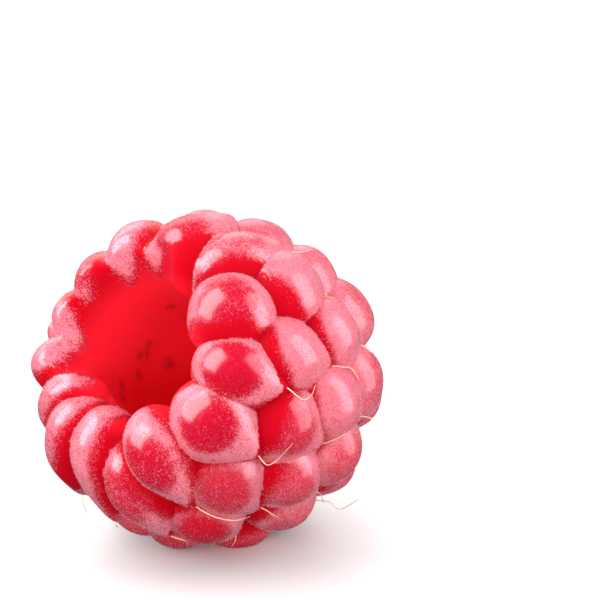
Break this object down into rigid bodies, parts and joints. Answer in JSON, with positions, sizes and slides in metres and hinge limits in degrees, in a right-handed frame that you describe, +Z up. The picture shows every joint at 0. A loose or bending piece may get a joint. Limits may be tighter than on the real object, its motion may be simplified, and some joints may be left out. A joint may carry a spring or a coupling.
{
  "type": "raspberry",
  "caption": "Ripe picked raspberry lying on its side: rounded drupelets packed in rings round an open, tapering hollow that faces forward and up.",
  "frame": {"origin": "on the resting surface, under the middle of the fruit's bounding box", "axes": "+Z up from the surface it lies on; the mouth of the hollow faces -Y, raised 30 degrees above level, and the tip is at +Y"},
  "size_m": [0.0208, 0.021, 0.0204],
  "materials": {
    "raspberry_flesh": "moist red flesh under a fine pale down"
  },
  "bodies": {
    "root": {"raspberry": "raspberry_flesh"}
  },
  "joints": []
}
